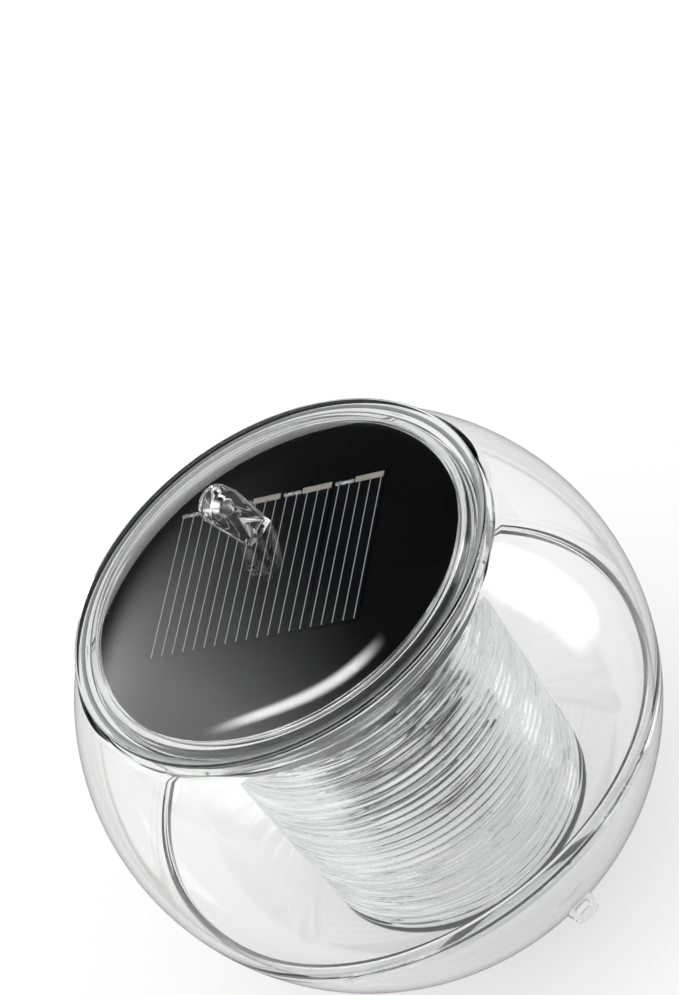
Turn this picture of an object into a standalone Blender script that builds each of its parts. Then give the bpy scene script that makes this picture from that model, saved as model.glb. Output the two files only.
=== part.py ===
"""Floating solar pool light: a clear two-part globe with a ribbed light column and a screw-in solar cap.

Lengths are metres, +Z is up, and the origin is the centre of the flat foot the globe stands on.
Heights in the design are given from the globe's centre, and place_on_axis lifts them to the foot.
"""
import math

import bmesh
import bpy
from mathutils import Matrix, Vector

# Driving dimensions
GLOBE_RADIUS = 0.055
WALL = 0.0016
FOOT_RADIUS = 0.011
SEAM_HEIGHT = -0.0142
NECK_TOP = 0.0347
NECK_BORE = 0.0383
CLEARANCE = 0.0003
STACK_GAP = 0.0001

# Cap
CAP_APEX = 0.04895
CAP_DOME_RADIUS = 0.0722
CAP_RIM_RADIUS = 0.0421
CAP_RIM_BOTTOM = 0.0361
CAP_RIM_TOP = 0.0374
CAP_SKIRT_BOTTOM = 0.0326
CAP_SKIRT_OUTER = NECK_BORE - CLEARANCE
CAP_SKIRT_INNER = 0.0366

# Light column
COLUMN_TOP_RADIUS = 0.0297
COLUMN_BOTTOM_RADIUS = 0.0280
COLUMN_BOTTOM = -0.0385
COLUMN_WALL = 0.0014
RIB_COUNT = 36
RIB_DEPTH = 0.00035
COLUMN_FLANGE_THICKNESS = 0.0012
LEDGE_THICKNESS = 0.0012
LEDGE_BORE = 0.0340

# Solar panel
PANEL_RADIUS = 0.0362
PANEL_TOP = 0.0362
PANEL_THICKNESS = 0.0012
CELL_WIDTH = 0.0430
CELL_LENGTH = 0.0340
CELL_OFFSET = 0.0043
CELL_TURN = math.radians(-36.9)
STRIP_COUNT = 4
STRIP_GAP = 0.0004
STRIP_THICKNESS = 0.0003
RIBBON_LENGTH_SHARE = 0.92
RIBBON_WIDTH = 0.0013
RIBBON_THICKNESS = 0.00015

# Electronics housing, hung under the panel
HOUSING_RADIUS = 0.0255
HOUSING_WALL = 0.0012
HOUSING_FLANGE_RADIUS = 0.0361
HOUSING_FLANGE_THICKNESS = 0.0010
HOUSING_BOTTOM = 0.0186
COVER_THICKNESS = 0.0012
SCREW_HOLE_RADIUS = 0.0012
SWITCH_SLOT = (0.0054, 0.0026)
STEM_RADIUS = 0.0135
STEM_WALL = 0.0012
STEM_BOTTOM = -0.0245
LED_RADIUS = 0.0025
LED_FLANGE_RADIUS = 0.0029
LED_LENGTH = 0.0086
LED_FLANGE_HEIGHT = 0.0010
LED_LEG_LENGTH = 0.0060
LED_LEG_SPREAD = 0.00127
BOSS_RADIUS = 0.0022
BOSS_CIRCLE = 0.0203
BOSS_ANGLES = (90, 210, 330)
BOARD_RADIUS = 0.0230
BOARD_BOTTOM = 0.0310
BOARD_THICKNESS = 0.0010
CELL_AXIS_Y = 0.0096
BATTERY_RADIUS = 0.00505
BATTERY_LENGTH = 0.0289
HOLDER_LENGTH = 0.0362
HOLDER_WIDTH = 0.0120
HOLDER_WALL = 0.0009
SWITCH_CENTRE_Y = -0.0168
SWITCH_TRAVEL = 0.0020
SCREW_HEAD_RADIUS = 0.0019
SCREW_SHANK_RADIUS = 0.0009

SEGMENTS = 40
SMALL_SEGMENTS = 20

FOOT_HEIGHT = math.sqrt(GLOBE_RADIUS ** 2 - FOOT_RADIUS ** 2)
INNER_RADIUS = GLOBE_RADIUS - WALL
COLUMN_FLANGE_TOP = CAP_SKIRT_BOTTOM - CLEARANCE
COLUMN_FLANGE_BOTTOM = COLUMN_FLANGE_TOP - COLUMN_FLANGE_THICKNESS
LEDGE_TOP = COLUMN_FLANGE_BOTTOM - CLEARANCE
LEDGE_BOTTOM = LEDGE_TOP - LEDGE_THICKNESS
PANEL_BOTTOM = PANEL_TOP - PANEL_THICKNESS
HOUSING_TOP = PANEL_BOTTOM - CLEARANCE
COVER_TOP = HOUSING_BOTTOM - CLEARANCE
COVER_BOTTOM = COVER_TOP - COVER_THICKNESS
STEM_TOP = COVER_BOTTOM - STACK_GAP
LED_FLANGE_BOTTOM = STEM_BOTTOM + STEM_WALL + STACK_GAP


# ---------------------------------------------------------------- shared modelling steps

def clear_scene():
    for old in list(bpy.data.objects):
        bpy.data.objects.remove(old, do_unlink=True)


def new_collection(name):
    collection = bpy.data.collections.new(name)
    bpy.context.scene.collection.children.link(collection)
    return collection


clear_scene()
PARTS = new_collection("floating_pool_light")
CUTTERS = new_collection("cutters")


def material(name, colour, roughness, metallic=0.0, alpha=1.0):
    made = bpy.data.materials.new(name)
    made.use_nodes = True
    shader = made.node_tree.nodes["Principled BSDF"]
    shader.inputs["Base Color"].default_value = (*colour, 1.0)
    shader.inputs["Roughness"].default_value = roughness
    shader.inputs["Metallic"].default_value = metallic
    shader.inputs["Alpha"].default_value = alpha
    return made


def clear_plastic(name):
    return material(name, (0.93, 0.95, 0.96), 0.05, alpha=0.35)


def add_part(name, data, look):
    part = bpy.data.objects.new(name, data)
    PARTS.objects.link(part)
    if look is not None:
        data.materials.append(look)
    return part


def make_cutter(part):
    """Move a part to the cutters' collection and hide it from renders."""
    PARTS.objects.unlink(part)
    CUTTERS.objects.link(part)
    part.display_type = "WIRE"
    part.hide_render = True
    return part


def boolean(part, cutter, operation):
    step = part.modifiers.new(operation.lower(), "BOOLEAN")
    step.operation = operation
    step.object = cutter
    return step


def arc(centre_z, radius, start, end, count):
    """Points (r, z) on a circle round (0, centre_z); angles in degrees up from the horizontal."""
    points = []
    for index in range(count + 1):
        angle = math.radians(start + (end - start) * index / count)
        points.append((radius * math.cos(angle), centre_z + radius * math.sin(angle)))
    return points


def latitude(height, radius):
    return math.degrees(math.asin(height / radius))


def turned(name, profile, look, steps=SEGMENTS, ring=False):
    """Turn an (r, z) profile round Z; it runs down the outer side, and a ring's profile is closed."""
    mesh = bpy.data.meshes.new(name)
    vertices = [(r, 0.0, z) for r, z in profile]
    edges = [(i, i + 1) for i in range(len(profile) - 1)]
    if ring:
        edges.append((len(profile) - 1, 0))
    mesh.from_pydata(vertices, edges, [])
    part = add_part(name, mesh, look)
    screw = part.modifiers.new("turn", "SCREW")
    screw.angle = math.radians(360)
    screw.steps = steps
    screw.render_steps = steps
    screw.use_merge_vertices = True
    screw.merge_threshold = 0.000001
    screw.use_smooth_shade = True
    return part


def solid_disc(name, radius, top, bottom, look, steps=SEGMENTS):
    return turned(name, [(0.0, top), (radius, top), (radius, bottom), (0.0, bottom)], look, steps)


def box(name, size, centre, look, bevel=0.0, bevel_segments=1):
    mesh = bpy.data.meshes.new(name)
    shape = bmesh.new()
    bmesh.ops.create_cube(shape, size=1.0)
    bmesh.ops.scale(shape, vec=Vector(size), verts=shape.verts)
    shape.to_mesh(mesh)
    shape.free()
    part = add_part(name, mesh, look)
    part.location = centre
    if bevel:
        edge = part.modifiers.new("edges", "BEVEL")
        edge.width = bevel
        edge.segments = bevel_segments
    return part


def cylinder(name, radius, length, centre, look, rotation=(0.0, 0.0, 0.0), steps=SMALL_SEGMENTS):
    mesh = bpy.data.meshes.new(name)
    shape = bmesh.new()
    bmesh.ops.create_cone(shape, cap_ends=True, segments=steps, radius1=radius, radius2=radius, depth=length)
    shape.to_mesh(mesh)
    shape.free()
    part = add_part(name, mesh, look)
    part.location = centre
    part.rotation_euler = rotation
    return part


def wire(name, points, radius, look, smooth_steps=3):
    """A round wire along a smooth curve through the points, with closed ends."""
    data = bpy.data.curves.new(name, "CURVE")
    data.dimensions = "3D"
    data.bevel_depth = radius
    data.bevel_resolution = 2
    data.use_fill_caps = True
    route = smooth_route(points, smooth_steps)
    spline = data.splines.new("POLY")
    spline.points.add(len(route) - 1)
    for place, point in zip(spline.points, route):
        place.co = (*point, 1.0)
    return add_part(name, data, look)


def smooth_route(points, steps):
    """A Catmull-Rom curve through the points, as a list of places along it."""
    ends = [points[0]] + list(points) + [points[-1]]
    route = []
    for i in range(1, len(ends) - 2):
        a, b, c, d = (Vector(ends[i + k]) for k in (-1, 0, 1, 2))
        for step in range(steps):
            t = step / steps
            route.append(0.5 * (2 * b + (c - a) * t + (2 * a - 5 * b + 4 * c - d) * t ** 2
                                + (3 * b - a - 3 * c + d) * t ** 3))
    route.append(Vector(points[-1]))
    return route


def outline_plate(name, outlines, thickness, look):
    """A flat plate in local XY from closed outlines; the second outline is a hole."""
    data = bpy.data.curves.new(name, "CURVE")
    data.dimensions = "2D"
    data.fill_mode = "BOTH"
    data.extrude = thickness / 2
    for outline in outlines:
        spline = data.splines.new("POLY")
        spline.points.add(len(outline) - 1)
        spline.use_cyclic_u = True
        for place, (x, y) in zip(spline.points, outline):
            place.co = (x, y, 0.0, 1.0)
    return add_part(name, data, look)


def curve_to_mesh(part):
    """Replace a curve object by a welded mesh object of the same name and place."""
    evaluated = part.evaluated_get(bpy.context.evaluated_depsgraph_get())
    mesh = bpy.data.meshes.new_from_object(evaluated)
    shape = bmesh.new()
    shape.from_mesh(mesh)
    bmesh.ops.remove_doubles(shape, verts=shape.verts, dist=0.000001)
    bmesh.ops.recalc_face_normals(shape, faces=shape.faces)
    shape.to_mesh(mesh)
    shape.free()
    name = part.name
    matrix = part.matrix_world.copy()
    bpy.data.objects.remove(part, do_unlink=True)
    mesh_part = bpy.data.objects.new(name, mesh)
    PARTS.objects.link(mesh_part)
    mesh_part.matrix_world = matrix
    return mesh_part


def round_points(centre, radius, start, end, count):
    """Points round (x, y) centre from start to end, in degrees."""
    cx, cy = centre
    angles = [math.radians(start + (end - start) * i / count) for i in range(count + 1)]
    return [(cx + radius * math.cos(a), cy + radius * math.sin(a)) for a in angles]


def place_on_axis(part):
    """Lift a part drawn from the globe's centre to its height over the foot."""
    part.location = (part.location.x, part.location.y, part.location.z + FOOT_HEIGHT)
    return part


# ---------------------------------------------------------------- globe

def tether_lug(name):
    """Low slotted lug moulded on the bowl; its root reaches half way into the wall."""
    root_width = 0.0067
    tip_width = 0.0052
    root = GLOBE_RADIUS - WALL / 2
    tip = 0.0583
    corner = 0.0012
    slot_half_width = 0.0016
    slot_bottom = GLOBE_RADIUS + 0.0005
    slot_top = slot_bottom + 0.0013
    outline = [(-root_width / 2, root), (root_width / 2, root)]
    outline += round_points((tip_width / 2 - corner, tip - corner), corner, 0, 90, 3)
    outline += round_points((-tip_width / 2 + corner, tip - corner), corner, 90, 180, 3)
    slot = [(-slot_half_width, slot_bottom), (slot_half_width, slot_bottom),
            (slot_half_width, slot_top), (-slot_half_width, slot_top)]
    plate = outline_plate(name, [outline, slot], 0.0024, None)
    polar = math.radians(40)
    turn = math.radians(13)
    outward = Vector((math.sin(polar) * math.sin(turn), -math.sin(polar) * math.cos(turn), -math.cos(polar)))
    along = Vector((math.cos(turn), math.sin(turn), 0.0))
    across = along.cross(outward)
    plate.matrix_world = (Matrix.Translation((0.0, 0.0, FOOT_HEIGHT))
                          @ Matrix((along, outward, across)).transposed().to_4x4())
    bpy.context.view_layer.update()
    return make_cutter(curve_to_mesh(plate))


def make_lower_bowl():
    lip_outer = 0.0511
    lip_inner = 0.0502
    lip_top = SEAM_HEIGHT + 0.0018
    edge = SEAM_HEIGHT - CLEARANCE / 2
    inner_foot = math.sqrt(INNER_RADIUS ** 2 - (FOOT_HEIGHT - WALL) ** 2)
    lip_root = -math.sqrt(INNER_RADIUS ** 2 - (lip_inner + 0.0004) ** 2)
    profile = [(0.0, -FOOT_HEIGHT + WALL)]
    profile += arc(0.0, INNER_RADIUS, -math.degrees(math.acos(inner_foot / INNER_RADIUS)),
                   latitude(lip_root, INNER_RADIUS), 7)
    profile += [(lip_inner, lip_root + 0.0012), (lip_inner, lip_top), (lip_outer, lip_top), (lip_outer, edge)]
    profile += arc(0.0, GLOBE_RADIUS, latitude(edge, GLOBE_RADIUS),
                   -math.degrees(math.acos(FOOT_RADIUS / GLOBE_RADIUS)), 8)
    profile += [(0.0, -FOOT_HEIGHT)]
    bowl = place_on_axis(turned("lower_bowl", profile, clear_plastic("clear_bowl")))
    boolean(bowl, tether_lug("tether_lug_shape"), "UNION")
    return bowl


def make_upper_shell():
    edge = SEAM_HEIGHT + CLEARANCE / 2
    plate_bottom = NECK_TOP - WALL
    sleeve_outer = NECK_BORE + 0.0015
    shoulder = NECK_TOP - 0.0004
    profile = [(math.sqrt(GLOBE_RADIUS ** 2 - NECK_TOP ** 2) - 0.0005, NECK_TOP)]
    profile += arc(0.0, GLOBE_RADIUS, latitude(shoulder, GLOBE_RADIUS), 0.0, 7)
    profile += arc(0.0, GLOBE_RADIUS, 0.0, latitude(edge, GLOBE_RADIUS), 3)[1:]
    profile += arc(0.0, INNER_RADIUS, latitude(edge, INNER_RADIUS), latitude(plate_bottom, INNER_RADIUS), 8)
    profile += [(sleeve_outer, plate_bottom), (sleeve_outer, LEDGE_BOTTOM), (LEDGE_BORE, LEDGE_BOTTOM),
                (LEDGE_BORE, LEDGE_TOP), (NECK_BORE, LEDGE_TOP), (NECK_BORE, NECK_TOP)]
    return place_on_axis(turned("upper_shell", profile, clear_plastic("clear_shell"), ring=True))


# ---------------------------------------------------------------- light column

def column_radius(height):
    share = (COLUMN_FLANGE_BOTTOM - height) / (COLUMN_FLANGE_BOTTOM - COLUMN_BOTTOM)
    return COLUMN_TOP_RADIUS + (COLUMN_BOTTOM_RADIUS - COLUMN_TOP_RADIUS) * share


def make_ribbed_column():
    flange_radius = NECK_BORE - 0.0004
    floor_top = COLUMN_BOTTOM + COLUMN_WALL
    pitch = (COLUMN_FLANGE_BOTTOM - COLUMN_BOTTOM) / RIB_COUNT
    profile = [(0.0, floor_top), (column_radius(floor_top) - COLUMN_WALL, floor_top),
               (COLUMN_TOP_RADIUS - COLUMN_WALL, COLUMN_FLANGE_TOP), (flange_radius, COLUMN_FLANGE_TOP),
               (flange_radius, COLUMN_FLANGE_BOTTOM)]
    for rib in range(RIB_COUNT):
        valley = COLUMN_FLANGE_BOTTOM - rib * pitch
        crest = valley - pitch / 2
        profile += [(column_radius(valley) - RIB_DEPTH, valley), (column_radius(crest), crest)]
    profile += [(COLUMN_BOTTOM_RADIUS - RIB_DEPTH, COLUMN_BOTTOM), (0.0, COLUMN_BOTTOM)]
    return place_on_axis(turned("ribbed_column", profile, clear_plastic("clear_column"), steps=28))


def make_neck_o_ring():
    section = 0.0005
    centre_radius = 0.0403
    centre_height = (NECK_TOP + CAP_RIM_BOTTOM) / 2
    profile = [(centre_radius + section * math.cos(a), centre_height + section * math.sin(a))
               for a in (math.radians(-45 * i) for i in range(8))]
    silicone = material("grey_silicone", (0.62, 0.64, 0.65), 0.45)
    return place_on_axis(turned("neck_o_ring", profile, silicone, ring=True))


# ---------------------------------------------------------------- cap

def hanging_lug(name):
    """Thick eye moulded on the crown of the dome, a little wider at its rounded head than at its root."""
    length = 0.0133
    root_width = 0.0059
    head_radius = 0.00365
    hole_radius = 0.0016
    sink = 0.0007
    head_y = length - head_radius
    outline = [(-root_width / 2, -sink), (root_width / 2, -sink)]
    outline += round_points((0.0, head_y), head_radius, -4, 184, 10)
    hole = round_points((0.0, head_y), hole_radius, 360, 36, 9)
    plate = outline_plate(name, [outline, hole], 0.0040, None)
    lean = math.radians(-12.8)
    facing = math.radians(18.3)
    offset = 0.0020
    plate.matrix_world = (Matrix.Translation((offset, 0.0, FOOT_HEIGHT + CAP_APEX))
                          @ Matrix.Rotation(lean, 4, "Y") @ Matrix.Rotation(facing, 4, "Z")
                          @ Matrix.Rotation(math.radians(90), 4, "X"))
    bpy.context.view_layer.update()
    return make_cutter(curve_to_mesh(plate))


def make_clear_cap():
    inner_dome = CAP_DOME_RADIUS - WALL
    dome_centre = CAP_APEX - CAP_DOME_RADIUS
    shoulder_radius = 0.0384
    rim_round = 0.0005
    outer_start = math.degrees(math.acos(shoulder_radius / CAP_DOME_RADIUS))
    inner_start = math.degrees(math.acos(CAP_SKIRT_INNER / inner_dome))
    profile = arc(dome_centre, CAP_DOME_RADIUS, 90, outer_start, 7)
    profile[0] = (0.0, CAP_APEX)
    profile += [(CAP_RIM_RADIUS - rim_round, CAP_RIM_TOP), (CAP_RIM_RADIUS, CAP_RIM_TOP - rim_round),
                (CAP_RIM_RADIUS, CAP_RIM_BOTTOM + rim_round), (CAP_RIM_RADIUS - rim_round, CAP_RIM_BOTTOM),
                (CAP_SKIRT_OUTER, CAP_RIM_BOTTOM), (CAP_SKIRT_OUTER, CAP_SKIRT_BOTTOM),
                (CAP_SKIRT_INNER, CAP_SKIRT_BOTTOM)]
    profile += arc(dome_centre, inner_dome, inner_start, 90, 6)
    profile[-1] = (0.0, CAP_APEX - WALL)
    cap = place_on_axis(turned("clear_cap", profile, clear_plastic("clear_cap_plastic")))
    boolean(cap, hanging_lug("hanging_lug_shape"), "UNION")
    return cap


# ---------------------------------------------------------------- solar panel

def make_solar_panel():
    """Black board with four silicon strips side by side, each with a tinned ribbon at its top edge."""
    board_look = material("black_panel", (0.006, 0.006, 0.007), 0.12)
    silicon = material("silicon", (0.012, 0.013, 0.018), 0.25, metallic=0.2)
    tin = material("tinned_ribbon", (0.78, 0.76, 0.70), 0.35, metallic=0.8)
    place_on_axis(solid_disc("panel_board", PANEL_RADIUS, PANEL_TOP, PANEL_BOTTOM, board_look))
    strip_width = CELL_WIDTH / STRIP_COUNT - STRIP_GAP
    strip_height = PANEL_TOP + STACK_GAP + STRIP_THICKNESS / 2
    ribbon_height = PANEL_TOP + 2 * STACK_GAP + STRIP_THICKNESS + RIBBON_THICKNESS / 2
    turn = Matrix.Rotation(CELL_TURN, 4, "Z")
    centre = Vector((0.0, CELL_OFFSET, 0.0))
    for number in range(STRIP_COUNT):
        across = (number - (STRIP_COUNT - 1) / 2) * CELL_WIDTH / STRIP_COUNT
        place = centre + turn @ Vector((across, 0.0, 0.0))
        strip = box(f"cell_strip_{number + 1}", (strip_width, CELL_LENGTH, STRIP_THICKNESS),
                    (place.x, place.y, strip_height), silicon)
        place = centre + turn @ Vector((across, CELL_LENGTH / 2 - RIBBON_WIDTH / 2, 0.0))
        ribbon_size = (strip_width * RIBBON_LENGTH_SHARE, RIBBON_WIDTH, RIBBON_THICKNESS)
        ribbon = box(f"bus_ribbon_{number + 1}", ribbon_size, (place.x, place.y, ribbon_height), tin)
        for piece in (strip, ribbon):
            piece.rotation_euler = (0.0, 0.0, CELL_TURN)
            place_on_axis(piece)


# ---------------------------------------------------------------- electronics housing

def boss_places():
    return [(BOSS_CIRCLE * math.cos(math.radians(a)), BOSS_CIRCLE * math.sin(math.radians(a)))
            for a in BOSS_ANGLES]


def make_housing():
    """White cup with a wide flange under the panel and three screw bosses inside its wall."""
    bore = HOUSING_RADIUS - HOUSING_WALL
    flange_bottom = HOUSING_TOP - HOUSING_FLANGE_THICKNESS
    profile = [(HOUSING_FLANGE_RADIUS, HOUSING_TOP), (HOUSING_FLANGE_RADIUS, flange_bottom),
               (HOUSING_RADIUS, flange_bottom), (HOUSING_RADIUS, HOUSING_BOTTOM), (bore, HOUSING_BOTTOM),
               (bore, HOUSING_TOP)]
    white = material("white_plastic", (0.80, 0.81, 0.80), 0.4)
    housing = place_on_axis(turned("lamp_housing", profile, white, ring=True))
    boss_top = BOARD_BOTTOM - CLEARANCE
    pilot_depth = 0.0085
    for number, (x, y) in enumerate(boss_places(), start=1):
        height = boss_top - HOUSING_BOTTOM
        middle = (boss_top + HOUSING_BOTTOM) / 2 + FOOT_HEIGHT
        boss = cylinder(f"boss_{number}", BOSS_RADIUS, height, (x, y, middle), None, steps=16)
        outward = math.atan2(y, x)
        web_length = bore + HOUSING_WALL / 2 - BOSS_CIRCLE
        web_middle = BOSS_CIRCLE + web_length / 2
        web = box(f"boss_web_{number}", (web_length, 0.0016, height - 0.0002),
                  (web_middle * math.cos(outward), web_middle * math.sin(outward), middle), None)
        web.rotation_euler = (0.0, 0.0, outward)
        pilot = cylinder(f"boss_pilot_{number}", SCREW_SHANK_RADIUS + 0.00025, pilot_depth * 2,
                         (x, y, HOUSING_BOTTOM + FOOT_HEIGHT), None, steps=12)
        boolean(housing, make_cutter(boss), "UNION")
        boolean(housing, make_cutter(web), "UNION")
        boolean(housing, make_cutter(pilot), "DIFFERENCE")
    return housing


def make_housing_cover():
    """Round cover screwed under the housing, with holes for the lamp's wires, the switch and the screws."""
    white = material("white_cover", (0.78, 0.79, 0.78), 0.4)
    cover = place_on_axis(solid_disc("housing_cover", HOUSING_RADIUS, COVER_TOP, COVER_BOTTOM, white))
    middle = (COVER_TOP + COVER_BOTTOM) / 2 + FOOT_HEIGHT
    depth = COVER_THICKNESS * 3
    holes = [cylinder("wire_hole", LED_FLANGE_RADIUS, depth, (0.0, 0.0, middle), None)]
    holes.append(box("switch_slot", (*SWITCH_SLOT, depth), (0.0, SWITCH_CENTRE_Y, middle), None))
    for number, (x, y) in enumerate(boss_places(), start=1):
        holes.append(cylinder(f"screw_hole_{number}", SCREW_HOLE_RADIUS, depth, (x, y, middle), None,
                              steps=12))
    for hole in holes:
        boolean(cover, make_cutter(hole), "DIFFERENCE")
    return cover


def make_lamp_stem():
    """Black tube welded under the cover; its closed lower end holds the lamp half way down the column."""
    black = material("stem_black", (0.02, 0.02, 0.02), 0.4)
    bore = STEM_RADIUS - STEM_WALL
    floor_top = STEM_BOTTOM + STEM_WALL
    profile = [(0.0, floor_top), (bore, floor_top), (bore, STEM_TOP), (STEM_RADIUS, STEM_TOP),
               (STEM_RADIUS, STEM_BOTTOM), (0.0, STEM_BOTTOM)]
    stem = place_on_axis(turned("lamp_stem", profile, black))
    middle = (floor_top + STEM_BOTTOM) / 2 + FOOT_HEIGHT
    hole = cylinder("lamp_hole", LED_RADIUS + STACK_GAP * 2, STEM_WALL * 3, (0.0, 0.0, middle), None)
    boolean(stem, make_cutter(hole), "DIFFERENCE")


def make_cover_screws():
    """Pan-head screws with a cross recess, driven up through the cover into the bosses."""
    steel = material("zinc_screw", (0.62, 0.63, 0.65), 0.3, metallic=1.0)
    head_top = COVER_BOTTOM - CLEARANCE
    head_height = 0.0012
    shank_top = COVER_TOP + 0.0065
    recess = 0.0005
    for number, (x, y) in enumerate(boss_places(), start=1):
        profile = [(0.0, shank_top), (SCREW_SHANK_RADIUS * 0.4, shank_top),
                   (SCREW_SHANK_RADIUS, shank_top - 0.0009), (SCREW_SHANK_RADIUS, head_top),
                   (SCREW_HEAD_RADIUS, head_top), (SCREW_HEAD_RADIUS, head_top - head_height * 0.5),
                   (SCREW_HEAD_RADIUS * 0.75, head_top - head_height), (0.0, head_top - head_height)]
        screw = turned(f"cover_screw_{number}", profile, steel, steps=16)
        screw.location = (x, y, 0.0)
        place_on_axis(screw)
        for arm, size in (("a", (0.0020, 0.0005, 2 * recess)), ("b", (0.0005, 0.0020, 2 * recess))):
            recess_height = head_top - head_height + FOOT_HEIGHT
            cutter = box(f"screw_recess_{number}{arm}", size, (x, y, recess_height), None)
            boolean(screw, make_cutter(cutter), "DIFFERENCE")


def make_circuit_board():
    """Round driver board on the bosses, with a driver chip, a choke and a capacitor under it."""
    green = material("board_green", (0.03, 0.20, 0.09), 0.45)
    black = material("chip_black", (0.02, 0.02, 0.02), 0.5)
    ceramic = material("choke_green", (0.10, 0.32, 0.16), 0.4)
    sleeve = material("capacitor_sleeve", (0.03, 0.05, 0.16), 0.35)
    under = BOARD_BOTTOM - STACK_GAP
    board_top = BOARD_BOTTOM + BOARD_THICKNESS
    place_on_axis(solid_disc("circuit_board", BOARD_RADIUS, board_top, BOARD_BOTTOM, green))
    chip_size = (0.0049, 0.0039, 0.0015)
    place_on_axis(box("driver_chip", chip_size, (0.0085, -0.0065, under - chip_size[2] / 2), black, 0.0002))
    choke_radius = 0.0015
    choke_place = (-0.0090, -0.0060, under - choke_radius - STACK_GAP)
    choke = cylinder("driver_choke", choke_radius, 0.0070, choke_place, ceramic,
                     rotation=(0.0, math.radians(90), 0.0), steps=16)
    place_on_axis(choke)
    capacitor = solid_disc("smoothing_capacitor", 0.0020, under, under - 0.0050, sleeve, steps=20)
    capacitor.location = (-0.0105, -0.0120, 0.0)
    place_on_axis(capacitor)


def make_led():
    """Clear 5 mm lamp that looks down through the stem's end, with two short legs for its wires."""
    clear = material("led_epoxy", (0.92, 0.94, 0.95), 0.04, alpha=0.5)
    lead = material("led_lead", (0.75, 0.75, 0.74), 0.3, metallic=1.0)
    base = LED_FLANGE_BOTTOM + LED_FLANGE_HEIGHT
    tip = base - LED_LENGTH
    profile = [(0.0, base), (LED_FLANGE_RADIUS, base), (LED_FLANGE_RADIUS, LED_FLANGE_BOTTOM),
               (LED_RADIUS, LED_FLANGE_BOTTOM)]
    profile += [(LED_RADIUS * math.cos(a), tip + LED_RADIUS - LED_RADIUS * math.sin(a))
                for a in (math.radians(15 * i) for i in range(6))]
    profile += [(0.0, tip)]
    place_on_axis(turned("led_lamp", profile, clear, steps=24))
    leg_width = 0.0005
    leg_middle = base + STACK_GAP + LED_LEG_LENGTH / 2
    for side, x in (("positive", -LED_LEG_SPREAD), ("negative", LED_LEG_SPREAD)):
        leg = box(f"led_leg_{side}", (leg_width, leg_width, LED_LEG_LENGTH), (x, 0.0, leg_middle), lead)
        place_on_axis(leg)


# ---------------------------------------------------------------- battery

def make_battery():
    """Rechargeable cell lying in an open holder, between a flat contact and a coil spring."""
    holder_look = material("holder_plastic", (0.05, 0.05, 0.05), 0.5)
    sleeve = material("cell_sleeve", (0.08, 0.30, 0.14), 0.3)
    nickel = material("nickel_contact", (0.70, 0.69, 0.66), 0.25, metallic=1.0)
    floor = 0.0010
    height = 0.0085
    bottom = COVER_TOP + CLEARANCE
    axis_height = bottom + floor + CLEARANCE + BATTERY_RADIUS
    outer = box("cell_holder", (HOLDER_LENGTH, HOLDER_WIDTH, height),
                (0.0, CELL_AXIS_Y, bottom + height / 2), holder_look)
    place_on_axis(outer)
    pocket = box("holder_pocket", (HOLDER_LENGTH - 2 * HOLDER_WALL, HOLDER_WIDTH - 2 * HOLDER_WALL, height),
                 (0.0, CELL_AXIS_Y, bottom + floor + height / 2), None)
    boolean(outer, make_cutter(place_on_axis(pocket)), "DIFFERENCE")

    inner_end = HOLDER_LENGTH / 2 - HOLDER_WALL
    plate_thickness = 0.0003
    plate_size = (plate_thickness, 0.0080, 0.0062)
    plate_x = inner_end - STACK_GAP - plate_thickness / 2
    plate_height = bottom + floor + CLEARANCE + plate_size[2] / 2
    for name, x in (("positive_contact", plate_x), ("negative_contact", -plate_x)):
        place_on_axis(box(name, plate_size, (x, CELL_AXIS_Y, plate_height), nickel))

    nub = 0.0010
    nub_radius = 0.0020
    half = BATTERY_LENGTH / 2
    edge = 0.0004
    profile = [(0.0, half + nub), (nub_radius, half + nub), (nub_radius, half), (BATTERY_RADIUS - edge, half),
               (BATTERY_RADIUS, half - edge), (BATTERY_RADIUS, -half + edge), (BATTERY_RADIUS - edge, -half),
               (0.0, -half)]
    battery = turned("rechargeable_cell", profile, sleeve, steps=24)
    battery.rotation_euler = (0.0, math.radians(90), 0.0)
    battery_x = plate_x - plate_thickness / 2 - STACK_GAP - nub - half
    battery.location = (battery_x, CELL_AXIS_Y, axis_height)
    place_on_axis(battery)

    spring_radius = 0.0026
    wire_radius = 0.0003
    turns = 3
    points_per_turn = 10
    start_x = -plate_x + plate_thickness / 2 + wire_radius + STACK_GAP
    end_x = battery_x - half - wire_radius - STACK_GAP
    coil = []
    for index in range(turns * points_per_turn + 1):
        share = index / (turns * points_per_turn)
        angle = math.radians(360) * turns * share
        coil.append((start_x + (end_x - start_x) * share, CELL_AXIS_Y + spring_radius * math.cos(angle),
                     axis_height + spring_radius * math.sin(angle)))
    place_on_axis(wire("contact_spring", coil, wire_radius, nickel, smooth_steps=1))


# ---------------------------------------------------------------- switch and wires

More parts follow.
